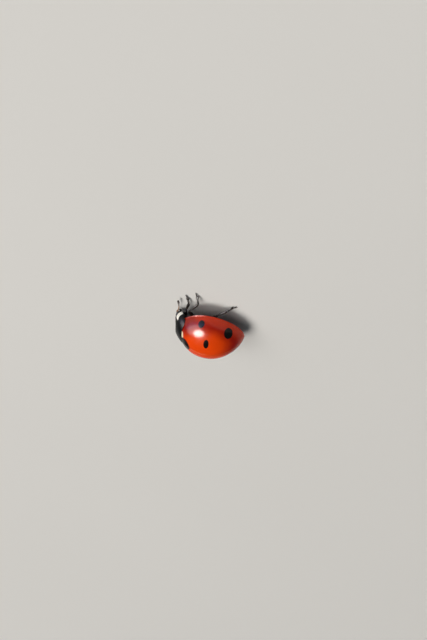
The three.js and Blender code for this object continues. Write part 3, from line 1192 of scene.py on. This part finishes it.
claw = {
    # share along and radius of the hook, then reach, radius and drop of the tooth
    "hook": [(0, 0.03), (0.35, 0.034), (0.6, 0.024), (0.85, 0.014), (1.0, 0.005)],
    "tooth": [(0, 0.022, 0), (0.05, 0.016, -0.02), (0.08, 0.006, -0.035)],
    "length": 0.17,
    "curl": 0.055,
}


def makeClaw(start, forward, aside):
    # a hooked claw with a blunt tooth at its base
    reach, curl = claw["length"], claw["curl"]
    hook = spindle("claw", 8, [(reach * t, r, r, 0, -curl * t * t) for t, r in claw["hook"]])
    layBetween(hook, start, start + forward + aside)
    tooth = spindle("clawTooth", 8, [(y, r, r, 0, drop) for y, r, drop in claw["tooth"]])
    root = start + forward * 0.12 + Vector((0, 0, -0.01))
    layBetween(tooth, root, start + forward + aside * 0.4 + Vector((0, 0, -0.12)))
    return [hook, tooth]


foot = {
    "endHeight": 0.1,
    "past": 0.06,  # how far the last joint runs on past the leg's own end
    "firstPad": 0.36,  # where each pad ends, as a share of the foot's length
    "firstDrop": 0.03,
    "secondPad": 0.66,
    "secondHeight": 0.115,
    "back": 0.08,  # where the slim joint starts on the second pad
    "up": 0.05,
    "bow": 0.03,
    "clawsBack": 0.03,
    "clawsApart": 0.025,
    "clawsDown": 0.12,
    "clawsSpread": 0.45,
}


def makeFoot(name, ankle, toe):
    # two lobed pads, and a slim joint that starts on the second and holds the claws
    along = Vector((toe.x - ankle.x, toe.y - ankle.y, 0)).normalized()
    end = Vector((toe.x, toe.y, foot["endHeight"])) + along * foot["past"]
    pad = ankle.lerp(end, foot["firstPad"]) - Vector((0, 0, foot["firstDrop"]))
    lobe = ankle.lerp(end, foot["secondPad"])
    lobe.z = foot["secondHeight"]
    start = lobe - along * foot["back"] + Vector((0, 0, foot["up"]))
    pieces = [
        makeSegment("padFirst", ankle, pad, limb["padFirst"]),
        makeSegment("padSecond", pad, lobe, limb["padSecond"]),
        makeSegment("padLast", start, end, limb["padLast"], bow=foot["bow"]),
    ]
    sideways = Vector((-along.y, along.x, 0))
    for sign in (1, -1):
        root = end - along * foot["clawsBack"] + sideways * foot["clawsApart"] * sign
        forward = along + Vector((0, 0, -foot["clawsDown"]))
        pieces += makeClaw(root, forward, sideways * foot["clawsSpread"] * sign)
    return joined(pieces, name)


def makeLegs(material):
    hairs = bristleMaterial()
    for count, (pair, leg) in enumerate(legs.items()):
        hip = onFloor.inverted() @ standing @ Vector(leg["hip"])
        knee, ankle, toe = (Vector(leg[key]) for key in ("knee", "ankle", "foot"))
        inward = (knee - hip).normalized()
        coxa = [(t, r, r * 0.85) for t, r in limb["coxa"]]
        made = {
            "coxa": makeSegment("coxa", hip - inward * 0.28, hip + inward * 0.3, coxa),
            "femur": makeSegment("femur", hip + inward * 0.12, knee, limb["femur"]),
            "tibia": makeSegment("tibia", knee, ankle, limb["tibia"], bow=0.03),
            "tarsus": makeFoot("tarsus", ankle, toe),
        }
        for part, obj in made.items():
            smooth(obj, 1)
            obj.data.materials.append(material)
            if part == "femur":
                addBristles(obj, knee - hip, hairs, 0.2, seed=20 + count, length=0.7, amount=0.35)
            if part == "tibia":
                addBristles(obj, ankle - knee, hairs, 0.2, seed=30 + count)
            if part == "tarsus":
                addBristles(obj, toe - ankle, hairs, 0.09, seed=40 + count, length=0.8, amount=1.2)
            obj.name = part + pair.capitalize() + "Left"
            other = mirrored(obj, part + pair.capitalize() + "Right")
            for side, piece in (("left", obj), ("right", other)):
                settle(piece, f"{part}_{pair}_{side}", matrix=onFloor)


makeLegs(glossyBlack)
print("legs done")

stage = {
    "floor": "#D3D3D0",
    "floorLighter": "#D9D9D6",
    "floorPatches": 60,
    "sky": "#DDE3EA",
    "skyStrength": 0.14,
}


def makeStage():
    bpy.ops.mesh.primitive_plane_add(size=4, location=(0, 0, 0))
    floor = bpy.context.object
    floor.name = "floor"
    material, tree, shader = newMaterial("matt painted board, pale", {"Roughness": 0.75})
    place = objectPlace(tree)
    patches = noiseAt(tree, place, stage["floorPatches"])
    tint = mixColours(tree, patches, linear(stage["floor"]), linear(stage["floorLighter"]))
    tree.links.new(tint, shader.inputs["Base Color"])
    floor.data.materials.append(material)
    world = bpy.data.worlds.new("studio")
    world.use_nodes = True
    bpy.context.scene.world = world
    bpy.context.scene.view_settings.view_transform = "Standard"
    background = world.node_tree.nodes["Background"].inputs
    background["Color"].default_value = linear(stage["sky"])
    background["Strength"].default_value = stage["skyStrength"]


def addPanel(name, direction, distance, size, power, colour, lights):
    # a soft panel facing the animal from a direction in the frame, which gives either
    # the reflections in the gloss or the matt light under them
    aim = Vector(direction).normalized()
    bpy.ops.object.light_add(type="AREA", location=aim * distance + Vector((0, 0, 0.002)))
    lamp = bpy.context.object
    lamp.name = name
    lamp.data.shape = "ELLIPSE"
    lamp.data.size, lamp.data.size_y = size
    lamp.data.energy = power
    lamp.data.color = linear(colour)[:3]
    lamp.rotation_mode = "QUATERNION"
    lamp.rotation_quaternion = aim.to_track_quat("Z", "Y")
    lamp.visible_camera = False
    lamp.visible_glossy = lights == "gloss"
    lamp.visible_diffuse = lights == "matt"
    deselect()


# direction, distance and size in metres, power, colour, and what the panel lights
panels = {
    "keyLight": ((-0.55, -0.46, 0.70), 0.6, (0.44, 0.27), 15.5, "#FFFCF7", "gloss"),
    "glowLight": ((-0.472, -0.756, 0.454), 0.6, (0.7, 0.36), 4.6, "#FFF2F0", "gloss"),
    "sheenLight": ((-0.64, -0.76, 0.2), 0.6, (1.1, 0.26), 1.9, "#B4C2FF", "gloss"),
    "sideLight": ((-0.85, 0.5, 0.05), 0.6, (0.7, 0.08), 0.25, "#FFD9CC", "gloss"),
    "topLight": ((0.0, -0.36, 0.93), 0.7, (0.4, 0.4), 3.6, "#FFFAF4", "matt"),
    "sideFill": ((-0.6, -0.5, 0.62), 0.7, (0.5, 0.5), 1.2, "#FFFAF4", "matt"),
}
makeStage()
for panelName, panel in panels.items():
    addPanel(panelName, *panel)

# The lens is long and stands back, rolled so that the back of the animal is towards
# the bottom of the frame. Directions are in the body's frame.
view = {
    "right": (0.00704, 0.98522, -0.17115),
    "down": (0.53084, 0.14136, 0.83560),
    "perMillimetre": 10.908,
    "originAt": (185.918, 327.434),
    "frame": (427, 640),
    "distance": 300.0,
    "sensor": 36,
}


def makeCamera():
    look = view
    turn = standing.to_3x3()
    right = (turn @ Vector(look["right"])).normalized()
    down = (turn @ Vector(look["down"])).normalized()
    back = right.cross(-down)
    places = zip(look["frame"], look["originAt"])
    offset = [(size / 2 - at) / look["perMillimetre"] for size, at in places]
    target = standing @ Vector((0, 0, 0)) + right * offset[0] + down * offset[1]
    bpy.ops.object.camera_add()
    camera = bpy.context.object
    camera.name = "camera"
    place = Matrix.Translation((target + back * look["distance"]) * millimetre)
    camera.matrix_world = place @ Matrix((right, -down, back)).transposed().to_4x4()
    tall = look["frame"][1] / look["perMillimetre"]
    camera.data.sensor_fit = "AUTO"
    camera.data.sensor_width = look["sensor"]
    camera.data.lens = look["distance"] * look["sensor"] / tall
    camera.data.clip_start = 0.01
    camera.data.clip_end = 10
    bpy.context.scene.camera = camera


makeCamera()
print("stage done")
